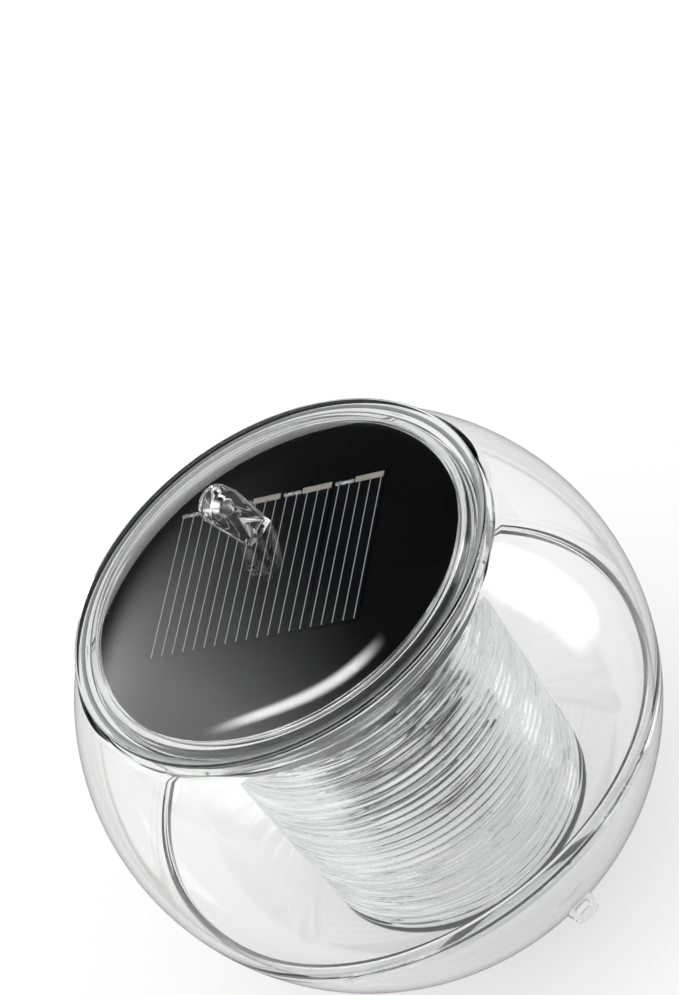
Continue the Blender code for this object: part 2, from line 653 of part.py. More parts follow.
def make_switch():
    """Slide switch over the slot in the cover; its slider rests at OFF and travels along +X."""
    metal = material("switch_frame", (0.60, 0.60, 0.58), 0.35, metallic=1.0)
    black = material("switch_black", (0.03, 0.03, 0.03), 0.45)
    bottom = COVER_TOP + STACK_GAP
    size = (0.0086, 0.0044, 0.0036)
    centre = (0.0, SWITCH_CENTRE_Y, bottom + size[2] / 2)
    body = place_on_axis(box("switch_body", size, centre, metal))
    channel_size = (0.0052, 0.0024, 0.0030)
    channel = box("switch_channel", channel_size, (0.0, SWITCH_CENTRE_Y, bottom), None)
    boolean(body, make_cutter(place_on_axis(channel)), "DIFFERENCE")
    slider_width = 0.0020
    slider_depth = 0.0018
    slider_top = bottom + channel_size[2] / 2 - STACK_GAP
    slider_bottom = COVER_BOTTOM - 0.0014
    slider = box("switch_slider", (slider_width, slider_depth, slider_top - slider_bottom),
                 (-SWITCH_TRAVEL / 2, SWITCH_CENTRE_Y, (slider_top + slider_bottom) / 2), black, 0.0002)
    place_on_axis(slider)


def make_wires():
    """Insulated wires from the panel, the contacts, the switch and the lamp to the board."""
    red = material("red_wire", (0.55, 0.03, 0.03), 0.4)
    black = material("black_wire", (0.02, 0.02, 0.02), 0.4)
    blue = material("blue_wire", (0.04, 0.10, 0.45), 0.4)
    radius = 0.0005
    board_top = BOARD_BOTTOM + BOARD_THICKNESS + CLEARANCE
    board_under = BOARD_BOTTOM - CLEARANCE
    panel_under = PANEL_BOTTOM - CLEARANCE
    contact_x = HOLDER_LENGTH / 2 - 0.0022
    contact_top = 0.0283
    leg_top = LED_FLANGE_BOTTOM + LED_FLANGE_HEIGHT + LED_LEG_LENGTH + CLEARANCE
    lamp_route = [(LED_LEG_SPREAD, 0.0, leg_top), (LED_LEG_SPREAD + 0.0022, 0.0010, -0.0040),
                  (LED_LEG_SPREAD + 0.0010, 0.0005, 0.0080), (LED_LEG_SPREAD, 0.0, COVER_BOTTOM),
                  (LED_LEG_SPREAD, 0.0, board_under)]
    routes = {
        "panel_wire_red": (red, [(0.004, 0.006, panel_under), (0.004, 0.006, panel_under - 0.0010),
                                 (0.010, 0.004, panel_under - 0.0014), (0.010, 0.004, board_top)]),
        "panel_wire_black": (black, [(-0.004, 0.006, panel_under), (-0.004, 0.006, panel_under - 0.0010),
                                     (-0.010, 0.004, panel_under - 0.0014), (-0.010, 0.004, board_top)]),
        "battery_wire_red": (red, [(contact_x, 0.0020, contact_top),
                                   (contact_x - 0.0010, 0.0012, contact_top + 0.0006),
                                   (contact_x - 0.0030, 0.0002, board_under - 0.0010),
                                   (contact_x - 0.0034, 0.0, board_under)]),
        "battery_wire_black": (black, [(-contact_x, 0.0020, contact_top),
                                       (-contact_x + 0.0010, 0.0012, contact_top + 0.0006),
                                       (-contact_x + 0.0030, 0.0002, board_under - 0.0010),
                                       (-contact_x + 0.0034, 0.0, board_under)]),
        "switch_wire_blue": (blue, [(0.0022, SWITCH_CENTRE_Y, 0.0226), (0.0024, SWITCH_CENTRE_Y, 0.0250),
                                    (0.0040, SWITCH_CENTRE_Y - 0.0005, 0.0285),
                                    (0.0042, SWITCH_CENTRE_Y - 0.0005, board_under)]),
        "lamp_wire_red": (red, [(-x, -y, z) for x, y, z in lamp_route]),
        "lamp_wire_black": (black, lamp_route),
    }
    for name, (look, points) in routes.items():
        place_on_axis(wire(name, points, radius, look))


make_lower_bowl()
make_upper_shell()
make_ribbed_column()
make_neck_o_ring()
make_clear_cap()
make_solar_panel()
make_housing()
make_housing_cover()
make_lamp_stem()
make_cover_screws()
make_circuit_board()
make_led()
make_battery()
make_switch()
make_wires()
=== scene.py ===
"""Looks of a floating solar globe lamp: clear globe, ribbed light column, domed cap over a solar panel."""
import math
import random

import bmesh
import bpy
from mathutils import Matrix, Vector


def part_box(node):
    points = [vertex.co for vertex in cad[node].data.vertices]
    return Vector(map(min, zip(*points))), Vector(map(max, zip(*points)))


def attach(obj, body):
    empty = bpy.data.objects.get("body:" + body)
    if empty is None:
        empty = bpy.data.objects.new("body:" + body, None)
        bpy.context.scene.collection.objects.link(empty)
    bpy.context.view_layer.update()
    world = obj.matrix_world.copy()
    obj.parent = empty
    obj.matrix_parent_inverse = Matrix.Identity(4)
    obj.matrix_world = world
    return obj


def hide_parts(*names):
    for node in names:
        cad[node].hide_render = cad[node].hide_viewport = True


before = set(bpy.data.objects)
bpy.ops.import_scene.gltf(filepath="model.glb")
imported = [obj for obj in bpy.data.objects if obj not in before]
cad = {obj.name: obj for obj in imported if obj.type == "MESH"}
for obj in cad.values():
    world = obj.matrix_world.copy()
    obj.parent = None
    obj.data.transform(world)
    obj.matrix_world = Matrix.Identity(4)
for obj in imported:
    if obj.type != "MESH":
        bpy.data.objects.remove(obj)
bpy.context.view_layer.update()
scene = bpy.context.scene

# ---------------------------------------------------------------- camera
# A long lens looks down at the lamp from in front, rolled so that the lamp leans to the left.
globe_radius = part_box("upper_shell")[1].x
foot_radius = 0.011
globe_centre = Vector((0.0, 0.0, math.sqrt(globe_radius ** 2 - foot_radius ** 2)))
view_tilt = math.radians(47.8)
view_roll = math.radians(37.4)
view_distance = 0.830
aim_right = math.radians(0.375)
aim_down = math.radians(2.588)

camera_data = bpy.data.cameras.new("camera")
camera_data.lens = 160.4
camera = bpy.data.objects.new("camera", camera_data)
scene.collection.objects.link(camera)
scene.camera = camera
towards_camera = Vector((0.0, -math.sin(view_tilt), math.cos(view_tilt)))
across = Vector((1.0, 0.0, 0.0))
upwards = Vector((0.0, math.cos(view_tilt), math.sin(view_tilt)))
image_right = across * math.cos(view_roll) - upwards * math.sin(view_roll)
image_up = across * math.sin(view_roll) + upwards * math.cos(view_roll)
turn = Matrix((image_right, image_up, towards_camera)).transposed()
lamp_way = Vector((math.tan(aim_right), -math.tan(aim_down), -1.0)).normalized()
aim = lamp_way.rotation_difference(Vector((0.0, 0.0, -1.0))).to_matrix()
camera.matrix_world = (Matrix.Translation(globe_centre + towards_camera * view_distance)
                       @ (turn @ aim).to_4x4())

# ---------------------------------------------------------------- studio
# A white cove lit evenly. Polished plastic mirrors a darker room above it, with three soft lamps: a broad
# grey one that fades away to the left, a narrow bright strip overhead and a tall one on the right.
scene.view_settings.view_transform = "Standard"
scene.cycles.max_bounces = 28
scene.cycles.transmission_bounces = 28
scene.cycles.glossy_bounces = 8
scene.cycles.transparent_max_bounces = 28
scene.cycles.caustics_reflective = False
scene.cycles.caustics_refractive = False
broad_radiance = 1.6
strip_radiance = 11.0
tall_radiance = 7.0
glow_radiance = 0.30
room_radiance = 0.008
bent_share = 0.55
many_share = 0.3
overhead_radiance = 3.2
floor_radiance = 0.62


def chain(nodes, links, kind, first, second=None, third=None):
    """A Math node of one kind; each input is a socket or a plain number. Returns its output."""
    made = nodes.new("ShaderNodeMath")
    made.operation = kind
    for slot, given in enumerate((first, second, third)):
        if given is None:
            continue
        if isinstance(given, (int, float)):
            made.inputs[slot].default_value = given
        else:
            links.new(given, made.inputs[slot])
    return made.outputs[0]


def fade(nodes, links, value, start, end, low=0.0, high=1.0, kind="SMOOTHSTEP"):
    """Goes from low at start to high at end."""
    made = nodes.new("ShaderNodeMapRange")
    made.interpolation_type = kind
    for name, given in (("From Min", start), ("From Max", end), ("To Min", low), ("To Max", high)):
        made.inputs[name].default_value = given
    links.new(value, made.inputs["Value"])
    return made.outputs[0]


def studio_world():
    """White for rays that go straight on, dark with soft lamps for mirrored ones, mixed for bent ones."""
    world = bpy.data.worlds.new("studio")
    scene.world = world
    world.use_nodes = True
    nodes, links = world.node_tree.nodes, world.node_tree.links
    place = nodes.new("ShaderNodeTexCoord")
    split = nodes.new("ShaderNodeSeparateXYZ")
    links.new(place.outputs["Generated"], split.inputs[0])
    x, y, z = split.outputs
    share = fade(nodes, links, x, 0.30, -0.55, 0.0, 1.0, "LINEAR")
    broad = chain(nodes, links, "MULTIPLY", chain(nodes, links, "POWER", share, 2.2), broad_radiance)
    broad = chain(nodes, links, "MULTIPLY", broad, fade(nodes, links, y, 0.82, 1.0, 1.0, 0.35))
    broad = chain(nodes, links, "MULTIPLY", broad, fade(nodes, links, z, 0.02, 0.28))
    bend = chain(nodes, links, "MULTIPLY", x, x)
    centre_line = chain(nodes, links, "MULTIPLY_ADD", bend, -0.90, 0.17)
    off_centre = chain(nodes, links, "ABSOLUTE", chain(nodes, links, "ADD", y, centre_line))
    strip = fade(nodes, links, off_centre, 0.042, 0.008, 0.0, strip_radiance)
    strip = chain(nodes, links, "MULTIPLY", strip, fade(nodes, links, x, 0.25, 0.0))
    strip = chain(nodes, links, "MULTIPLY", strip, fade(nodes, links, x, -0.66, -0.42))
    strip = chain(nodes, links, "MULTIPLY", strip, fade(nodes, links, z, 0.2, 0.5))
    near_side = chain(nodes, links, "MULTIPLY", fade(nodes, links, z, 0.16, 0.02),
                      fade(nodes, links, y, 0.85, 0.70))
    floor_glow = chain(nodes, links, "MAXIMUM", near_side, fade(nodes, links, z, 0.0, -0.15))
    tall = fade(nodes, links, chain(nodes, links, "ABSOLUTE", chain(nodes, links, "ADD", y, 0.12)),
                0.24, 0.12, 0.0, tall_radiance)
    tall = chain(nodes, links, "MULTIPLY", tall, fade(nodes, links, x, 0.88, 0.95))
    mirrored = chain(nodes, links, "ADD", chain(nodes, links, "ADD", broad, strip), tall)
    mirrored = chain(nodes, links, "MULTIPLY_ADD", floor_glow, glow_radiance, mirrored)
    mirrored = chain(nodes, links, "ADD", mirrored, room_radiance)
    path = nodes.new("ShaderNodeLightPath")
    around = fade(nodes, links, z, -0.10, 0.60, 0.96, 0.88)
    both = nodes.new("ShaderNodeMix")
    depth = path.outputs["Glossy Depth"]
    many = chain(nodes, links, "MULTIPLY", chain(nodes, links, "GREATER_THAN", depth, 1.5), many_share)
    once = chain(nodes, links, "SUBTRACT", chain(nodes, links, "MINIMUM", depth, 1.0), many)
    bent = chain(nodes, links, "MULTIPLY", path.outputs["Is Glossy Ray"], bent_share)
    reflected = chain(nodes, links, "MAXIMUM", once, bent)
    links.new(reflected, both.inputs[0])
    links.new(around, both.inputs[2])
    links.new(mirrored, both.inputs[3])
    links.new(both.outputs[0], nodes["Background"].inputs["Strength"])
    nodes["Background"].inputs["Color"].default_value = (1, 1, 1, 1)


studio_world()


def softbox(name, radiance, width, height, place):
    """A lamp that lights matt surfaces; polished ones mirror the room instead."""
    light = bpy.data.lights.new(name, "AREA")
    light.shape = "RECTANGLE"
    light.size = width
    light.size_y = height
    light.energy = radiance * math.pi * width * height
    box = bpy.data.objects.new(name, light)
    scene.collection.objects.link(box)
    box.location = place
    box.rotation_euler = (Vector(place) - globe_centre).to_track_quat("Z", "Y").to_euler()
    box.visible_glossy = False
    box.visible_transmission = False


softbox("overhead_box", overhead_radiance, 0.6, 0.6, (-0.10, -0.20, 1.0))


def make_floor():
    bpy.ops.mesh.primitive_plane_add(size=8.0, location=(0.0, 0.0, -0.0003))
    floor = bpy.context.object
    floor.name = "floor"
    look = bpy.data.materials.new("floor")
    look.use_nodes = True
    shader = look.node_tree.nodes["Principled BSDF"]
    shader.inputs["Base Color"].default_value = (0.35, 0.35, 0.35, 1)
    shader.inputs["Roughness"].default_value = 0.9
    shader.inputs["Specular IOR Level"].default_value = 0.1
    shader.inputs["Emission Color"].default_value = (1, 1, 1, 1)
    shader.inputs["Emission Strength"].default_value = floor_radiance
    floor.data.materials.append(look)
    floor.visible_glossy = False


make_floor()


# ---------------------------------------------------------------- bowl
# The lower half of the globe: clear polystyrene, 1.6 mm thick, moulded with a flat foot, a low slotted
# lug for a tether, and a stepped lip at its edge that the upper shell is welded over.
wall = 0.0016
seam = -0.0142
gap = 0.0003
globe_steps = 192
inner_radius = globe_radius - wall


def arc(centre_z, radius, start, end, count):
    """Points (r, z) round (0, centre_z) from start to end degrees, measured up from the horizontal."""
    return fillet(0.0, centre_z, radius, start, end, count)


def fillet(centre_r, centre_z, radius, start, end, count=4):
    """Points (r, z) on a round about a centre in the profile, from start to end degrees."""
    angles = [math.radians(start + (end - start) * i / count) for i in range(count + 1)]
    return [(centre_r + radius * math.cos(a), centre_z + radius * math.sin(a)) for a in angles]


def latitude(height, radius):
    return math.degrees(math.asin(height / radius))


def lift(profile):
    """Heights are drawn from the globe's centre, as the mould is; this sets them over the foot."""
    return [(r, z + globe_centre.z) for r, z in profile]


def finished(name, shape, sharp=35.0):
    """A smooth-shaded object from a bmesh, with its edges sharper than the angle kept crisp."""
    mesh = bpy.data.meshes.new(name)
    shape.to_mesh(mesh)
    shape.free()
    mesh.shade_smooth()
    mesh.set_sharp_from_angle(angle=math.radians(sharp))
    piece = bpy.data.objects.new(name, mesh)
    scene.collection.objects.link(piece)
    return piece


def lathe(name, profile, steps, ring=False, wobble=None, sharp=35.0):
    """Turn an (r, z) profile round Z; wobble(r, z, angle) may shift each point's radius."""
    shape = bmesh.new()
    rows = []
    for r, z in profile:
        if r < 1e-7:
            rows.append([shape.verts.new((0.0, 0.0, z))])
            continue
        row = []
        for step in range(steps):
            angle = 2 * math.pi * step / steps
            reach = r + (wobble(r, z, angle) if wobble else 0.0)
            row.append(shape.verts.new((reach * math.cos(angle), reach * math.sin(angle), z)))
        rows.append(row)
    pairs = list(zip(rows, rows[1:]))
    if ring:
        pairs.append((rows[-1], rows[0]))
    for upper, lower in pairs:
        for step in range(steps):
            after = (step + 1) % steps
            if len(upper) == 1:
                shape.faces.new((upper[0], lower[step], lower[after]))
            elif len(lower) == 1:
                shape.faces.new((upper[step], lower[0], upper[after]))
            else:
                shape.faces.new((upper[step], lower[step], lower[after], upper[after]))
    bmesh.ops.recalc_face_normals(shape, faces=shape.faces)
    return finished(name, shape, sharp)


def cut_plate(name, outlines, thickness, edge, matrix):
    """A plate with rounded edges from closed outlines in its own XY; the later outlines are holes."""
    data = bpy.data.curves.new(name, "CURVE")
    data.dimensions = "2D"
    data.fill_mode = "BOTH"
    data.extrude = thickness / 2 - edge
    data.bevel_depth = edge
    data.bevel_resolution = 3
    data.offset = -edge
    for outline in outlines:
        spline = data.splines.new("POLY")
        spline.points.add(len(outline) - 1)
        spline.use_cyclic_u = True
        for place, (x, y) in zip(spline.points, outline):
            place.co = (x, y, 0.0, 1.0)
    drawn = bpy.data.objects.new(name + "_outline", data)
    scene.collection.objects.link(drawn)
    flat = drawn.evaluated_get(bpy.context.evaluated_depsgraph_get()).to_mesh()
    shape = bmesh.new()
    shape.from_mesh(flat)
    bpy.data.objects.remove(drawn)
    bmesh.ops.remove_doubles(shape, verts=shape.verts, dist=0.000002)
    bmesh.ops.recalc_face_normals(shape, faces=shape.faces)
    shape.transform(matrix)
    return finished(name, shape)


def mounted(piece, look, body, slot_name, *nodes):
    """Give a piece its material and the body it moves with; it stands for the nodes. slot_name is not used.
    """
    piece.data.materials.clear()
    piece.data.materials.append(look)
    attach(piece, body)
    if nodes:
        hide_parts(*nodes)
    return piece


def new_group(name, inputs, outputs):
    """An empty shader node group with named sockets, and its input and output nodes."""
    group = bpy.data.node_groups.new(name, "ShaderNodeTree")
    for socket, kind, value in inputs:
        made = group.interface.new_socket(socket, in_out="INPUT", socket_type=kind)
        made.default_value = value
    for socket, kind in outputs:
        group.interface.new_socket(socket, in_out="OUTPUT", socket_type=kind)
    return group, group.nodes.new("NodeGroupInput"), group.nodes.new("NodeGroupOutput")


def make_handling_marks():
    """Cloudy smears and faint moulding ripples on polished plastic: a roughness and a height."""
    group, given, made = new_group(
        "handling_marks",
        [("Smooth", "NodeSocketFloat", 0.0), ("Smeared", "NodeSocketFloat", 0.06),
         ("Smear Scale", "NodeSocketFloat", 45.0), ("Ripple Scale", "NodeSocketFloat", 90.0)],
        [("Roughness", "NodeSocketFloat"), ("Height", "NodeSocketFloat")])
    nodes, links = group.nodes, group.links
    place = nodes.new("ShaderNodeTexCoord")
    smears = nodes.new("ShaderNodeTexNoise")
    smears.inputs["Detail"].default_value = 4.0
    smears.inputs["Distortion"].default_value = 0.8
    ripples = nodes.new("ShaderNodeTexNoise")
    ripples.inputs["Detail"].default_value = 1.0
    spread = nodes.new("ShaderNodeMapRange")
    spread.inputs["From Min"].default_value = 0.52
    spread.inputs["From Max"].default_value = 0.78
    links.new(place.outputs["Object"], smears.inputs["Vector"])
    links.new(place.outputs["Object"], ripples.inputs["Vector"])
    links.new(given.outputs["Smear Scale"], smears.inputs["Scale"])
    links.new(given.outputs["Ripple Scale"], ripples.inputs["Scale"])
    links.new(smears.outputs["Fac"], spread.inputs["Value"])
    links.new(given.outputs["Smooth"], spread.inputs["To Min"])
    links.new(given.outputs["Smeared"], spread.inputs["To Max"])
    links.new(spread.outputs[0], made.inputs["Roughness"])
    links.new(ripples.outputs["Fac"], made.inputs["Height"])
    return group


handling_marks = make_handling_marks()


def placed(nodes, group, values):
    node = nodes.new("ShaderNodeGroup")
    node.node_tree = group
    for name, value in values.items():
        node.inputs[name].default_value = value
    return node


def clear_plastic(name, tint, smooth=0.0, smeared=0.05, ripple=0.15, ripple_depth=0.00002, shadow=0.96):
    """Clear moulded plastic. Lamps shine through it, so it throws only a faint shadow."""
    look = bpy.data.materials.new(name)
    look.use_nodes = True
    nodes, links = look.node_tree.nodes, look.node_tree.links
    shader = nodes["Principled BSDF"]
    shader.inputs["Base Color"].default_value = (*tint, 1)
    shader.inputs["Transmission Weight"].default_value = 1.0
    shader.inputs["IOR"].default_value = 1.49
    marks = placed(nodes, handling_marks, {"Smooth": smooth, "Smeared": smeared})
    links.new(marks.outputs["Roughness"], shader.inputs["Roughness"])
    rise = nodes.new("ShaderNodeBump")
    rise.inputs["Strength"].default_value = ripple
    rise.inputs["Distance"].default_value = ripple_depth
    links.new(marks.outputs["Height"], rise.inputs["Height"])
    links.new(rise.outputs[0], shader.inputs["Normal"])
    path = nodes.new("ShaderNodeLightPath")
    through = nodes.new("ShaderNodeBsdfTransparent")
    through.inputs[0].default_value = (shadow, shadow, shadow, 1)
    both = nodes.new("ShaderNodeMixShader")
    links.new(path.outputs["Is Shadow Ray"], both.inputs[0])
    links.new(shader.outputs[0], both.inputs[1])
    links.new(through.outputs[0], both.inputs[2])
    links.new(both.outputs[0], nodes["Material Output"].inputs["Surface"])
    return look


globe_plastic = clear_plastic("globe_plastic", (0.99, 0.992, 0.99))


def make_bowl():
    lip_outer = 0.0511
    lip_inner = 0.0502
    lip_top = seam + 0.0018
    edge = seam - gap / 2
    lip_round = 0.0002
    inner_foot = math.sqrt(inner_radius ** 2 - (globe_centre.z - wall) ** 2)
    lip_root = -math.sqrt(inner_radius ** 2 - (lip_inner + 0.0004) ** 2)
    foot_angle = math.degrees(math.acos(foot_radius / globe_radius))
    profile = [(0.0, -globe_centre.z + wall)]
    profile += arc(0.0, inner_radius, -math.degrees(math.acos(inner_foot / inner_radius)),
                   latitude(lip_root, inner_radius), 44)
    profile += [(lip_inner, lip_root + 0.0012), (lip_inner, lip_top - lip_round),
                (lip_inner + lip_round, lip_top), (lip_outer - lip_round, lip_top),
                (lip_outer, lip_top - lip_round), (lip_outer, edge)]
    profile += arc(0.0, globe_radius, latitude(edge, globe_radius), -foot_angle, 48)
    profile += [(0.0, -globe_centre.z)]
    bowl = lathe("globe_bowl", lift(profile), globe_steps)
    mounted(bowl, globe_plastic, "globe", "clear_globe", "lower_bowl")


def make_tether_lug():
    root_width = 0.0067
    tip_width = 0.0052
    root = globe_radius - wall * 0.4
    tip = 0.0583
    corner = 0.0012
    slot_half = 0.0016
    slot_bottom = globe_radius + 0.0005
    slot_top = slot_bottom + 0.0013
    slot_round = 0.0005
    outline = [(-root_width / 2, root), (root_width / 2, root)]
    outline += fillet(tip_width / 2 - corner, tip - corner, corner, 0, 90, 6)
    outline += fillet(-tip_width / 2 + corner, tip - corner, corner, 90, 180, 6)
    slot = []
    for x, y, start in ((slot_half, slot_top, 0), (-slot_half, slot_top, 90),
                        (-slot_half, slot_bottom, 180), (slot_half, slot_bottom, 270)):
        slot += fillet(x - math.copysign(slot_round, x), y - (slot_round if start < 180 else -slot_round),
                       slot_round, start, start + 90, 3)
    polar = math.radians(40)
    turned = math.radians(13)
    outward = Vector((math.sin(polar) * math.sin(turned), -math.sin(polar) * math.cos(turned),
                      -math.cos(polar)))
    along = Vector((math.cos(turned), math.sin(turned), 0.0))
    facing = Matrix((along, outward, along.cross(outward))).transposed().to_4x4()
    lug = cut_plate("tether_lug", [outline, slot], 0.0024, 0.0003, Matrix.Translation(globe_centre) @ facing)
    mounted(lug, globe_plastic, "globe", "clear_globe")


make_bowl()
make_tether_lug()

# ---------------------------------------------------------------- upper shell
# The upper part of the globe, moulded with a flat lip, a threaded sleeve and a ledge for the column.
# It sits over the bowl's lip; the weld shows as a fine double line.
neck_top = 0.0347
neck_bore = 0.0383
sleeve_wall = 0.0015
ledge_bore = 0.0340
ledge_top = 0.0308
ledge_thickness = 0.0012
thread_pitch = 0.0025
thread_depth = 0.00022


def make_upper_shell():
    edge = seam + gap / 2
    plate_bottom = neck_top - wall
    sleeve_outer = neck_bore + sleeve_wall
    rim = 0.0004
    ledge_bottom = ledge_top - ledge_thickness
    thread_rows = 14
    top_radius = math.sqrt(globe_radius ** 2 - neck_top ** 2)
    profile = fillet(top_radius - 0.0005, neck_top - rim, rim, 90, 45)
    profile += arc(0.0, globe_radius, latitude(neck_top - rim * 1.5, globe_radius), 0, 40)
    profile += arc(0.0, globe_radius, 0, latitude(edge, globe_radius), 16)[1:]
    profile += arc(0.0, inner_radius, latitude(edge, inner_radius), latitude(plate_bottom, inner_radius), 54)
    profile += [(sleeve_outer, plate_bottom), (sleeve_outer, ledge_bottom), (ledge_bore, ledge_bottom),
                (ledge_bore, ledge_top)]
    profile += [(neck_bore, ledge_top + (neck_top - rim - ledge_top) * row / thread_rows)
                for row in range(thread_rows + 1)]
    profile += [(neck_bore + rim, neck_top)]

    def groove(r, z, angle):
        height = z - globe_centre.z
        if abs(r - neck_bore) > 1e-6 or not ledge_top + 0.0004 < height < neck_top - rim:
            return 0.0
        return thread_depth * (0.5 - 0.5 * math.cos(2 * math.pi * height / thread_pitch - angle))

    shell = lathe("globe_upper", lift(profile), globe_steps, ring=True, wobble=groove)
    mounted(shell, globe_plastic, "globe", "clear_globe", "upper_shell")


make_upper_shell()

# ---------------------------------------------------------------- light column
# A clear tapered cup that hangs by its flange on the ledge. Fine ring ribs round its outside break the
# lamp's light up; they are slightly uneven, as the mould's hand-turned grooves are.
column_top = 0.0297
column_bottom = 0.0280
column_low = -0.0385
column_wall = 0.0014
flange_top = 0.0323
flange_low = 0.0311
rib_count = 36
rib_depth = 0.00052
rib_points = 8


def make_column():
    draw = random.Random(4)
    pitch = (flange_low - column_low) / rib_count
    taper = (column_top - column_bottom) / (flange_low - column_low)
    flange = neck_bore - 0.0004
    rounding = 0.0002
    floor_top = column_low + column_wall
    sizes = [draw.uniform(0.5, 1.0) for _ in range(rib_count)]
    waves = [(draw.uniform(0, 6.28), draw.randint(2, 7), draw.uniform(0, 6.28)) for _ in range(rib_count)]

    def uneven(r, z, angle):
        down = (flange_low + globe_centre.z - z) / pitch
        if down < 0.01 or r < column_bottom - 2 * rib_depth:
            return 0.0
        start, count, other = waves[min(int(down), rib_count - 1)]
        return 0.00004 * (math.sin(count * angle + start) + math.sin((count + 4) * angle + other) - 2)

    profile = [(0.0, floor_top), (column_bottom - column_wall, floor_top),
               (column_top - column_wall, flange_top - rounding),
               (column_top - column_wall + rounding, flange_top),
               (flange - rounding, flange_top), (flange, flange_top - rounding), (flange, flange_low)]
    for rib in range(rib_count):
        for point in range(rib_points):
            share = point / rib_points
            z = flange_low - (rib + share) * pitch
            crest = column_bottom + (z - column_low) * taper
            profile.append((crest - rib_depth * (1 - sizes[rib] * math.sin(math.pi * share)), z))
    profile += [(column_bottom - rib_depth, column_low), (0.0, column_low)]
    column = lathe("light_column", lift(profile), globe_steps, wobble=uneven, sharp=60)
    look = clear_plastic("column_plastic", (0.975, 0.98, 0.98), smooth=0.02, smeared=0.10)
    mounted(column, look, "column", "clear_column", "ribbed_column")


make_column()

# ---------------------------------------------------------------- neck seal
# A thin O-ring of pale silicone rubber, laid on the neck's lip and squeezed by the cap's rim.
rim_bottom = 0.0361


def make_surface_finish():
    """Patchy colour, fine grain and uneven gloss, for moulded, printed, plated and coated skins."""
    group, given, made = new_group(
        "surface_finish",
        [("Colour", "NodeSocketColor", (0.8, 0.8, 0.8, 1)),
         ("Patches", "NodeSocketColor", (0.7, 0.7, 0.7, 1)),
         ("Patch Scale", "NodeSocketFloat", 120.0), ("Grain Scale", "NodeSocketFloat", 2500.0),
         ("Gloss Low", "NodeSocketFloat", 0.3), ("Gloss High", "NodeSocketFloat", 0.5)],
        [("Colour", "NodeSocketColor"), ("Roughness", "NodeSocketFloat"), ("Height", "NodeSocketFloat")])
    nodes, links = group.nodes, group.links
    place = nodes.new("ShaderNodeTexCoord")
    patches = nodes.new("ShaderNodeTexNoise")
    patches.inputs["Detail"].default_value = 5.0
    grain = nodes.new("ShaderNodeTexNoise")
    grain.inputs["Detail"].default_value = 2.0
    spread = nodes.new("ShaderNodeMapRange")
    spread.inputs["From Min"].default_value = 0.42
    spread.inputs["From Max"].default_value = 0.68
    colour = nodes.new("ShaderNodeMix")
    colour.data_type = "RGBA"
    gloss = nodes.new("ShaderNodeMapRange")
    gloss.inputs["From Min"].default_value = 0.3
    gloss.inputs["From Max"].default_value = 0.7
    for noise, scale in ((patches, "Patch Scale"), (grain, "Grain Scale")):
        links.new(place.outputs["Object"], noise.inputs["Vector"])
        links.new(given.outputs[scale], noise.inputs["Scale"])
    links.new(patches.outputs["Fac"], spread.inputs["Value"])
    links.new(spread.outputs[0], colour.inputs[0])
    links.new(given.outputs["Colour"], colour.inputs[6])
    links.new(given.outputs["Patches"], colour.inputs[7])
    links.new(patches.outputs["Fac"], gloss.inputs["Value"])
    links.new(given.outputs["Gloss Low"], gloss.inputs["To Min"])
    links.new(given.outputs["Gloss High"], gloss.inputs["To Max"])
    links.new(colour.outputs[2], made.inputs["Colour"])
    links.new(gloss.outputs[0], made.inputs["Roughness"])
    links.new(grain.outputs["Fac"], made.inputs["Height"])
    return group


surface_finish = make_surface_finish()


def skin(name, colour, patches, gloss, patch_scale=120.0, grain_scale=2500.0, grain=0.2, depth=0.00002,
         metal=0.0, specular=0.5):
    """An opaque material with the surface finish; gloss is its (lowest, highest) roughness."""
    look = bpy.data.materials.new(name)
    look.use_nodes = True
    nodes, links = look.node_tree.nodes, look.node_tree.links
    shader = nodes["Principled BSDF"]
    shader.inputs["Metallic"].default_value = metal
    shader.inputs["Specular IOR Level"].default_value = specular
    finish = placed(nodes, surface_finish, {
        "Colour": (*colour, 1), "Patches": (*patches, 1), "Patch Scale": patch_scale,
        "Grain Scale": grain_scale, "Gloss Low": gloss[0], "Gloss High": gloss[1]})
    rise = nodes.new("ShaderNodeBump")
    rise.inputs["Strength"].default_value = grain
    rise.inputs["Distance"].default_value = depth
    links.new(finish.outputs["Colour"], shader.inputs["Base Color"])
    links.new(finish.outputs["Roughness"], shader.inputs["Roughness"])
    links.new(finish.outputs["Height"], rise.inputs["Height"])
    links.new(rise.outputs[0], shader.inputs["Normal"])
    return look


def make_seal():
    section = 0.0005
    centre_radius = 0.0403
    centre_height = (neck_top + rim_bottom) / 2
    profile = fillet(centre_radius, centre_height, section, 0, -345, 23)
    seal = lathe("neck_seal", lift(profile), globe_steps, ring=True)
    rubber = skin("pale_silicone", (0.80, 0.82, 0.83), (0.70, 0.72, 0.73), (0.35, 0.55), patch_scale=300.0)
    mounted(seal, rubber, "seal", "silicone_seal", "neck_o_ring")


make_seal()

# ---------------------------------------------------------------- cap
# One clear moulding: a shallow dome, a rounded rim that closes the neck and a skirt with a single
# thread inside the neck. A thick eye for hanging the lamp is moulded on its crown.
crown = 0.04895
dome_radius = 0.0722
rim_radius = 0.0421
rim_top = 0.0374
skirt_bottom = 0.0326
skirt_outer = neck_bore - gap
skirt_inner = 0.0366


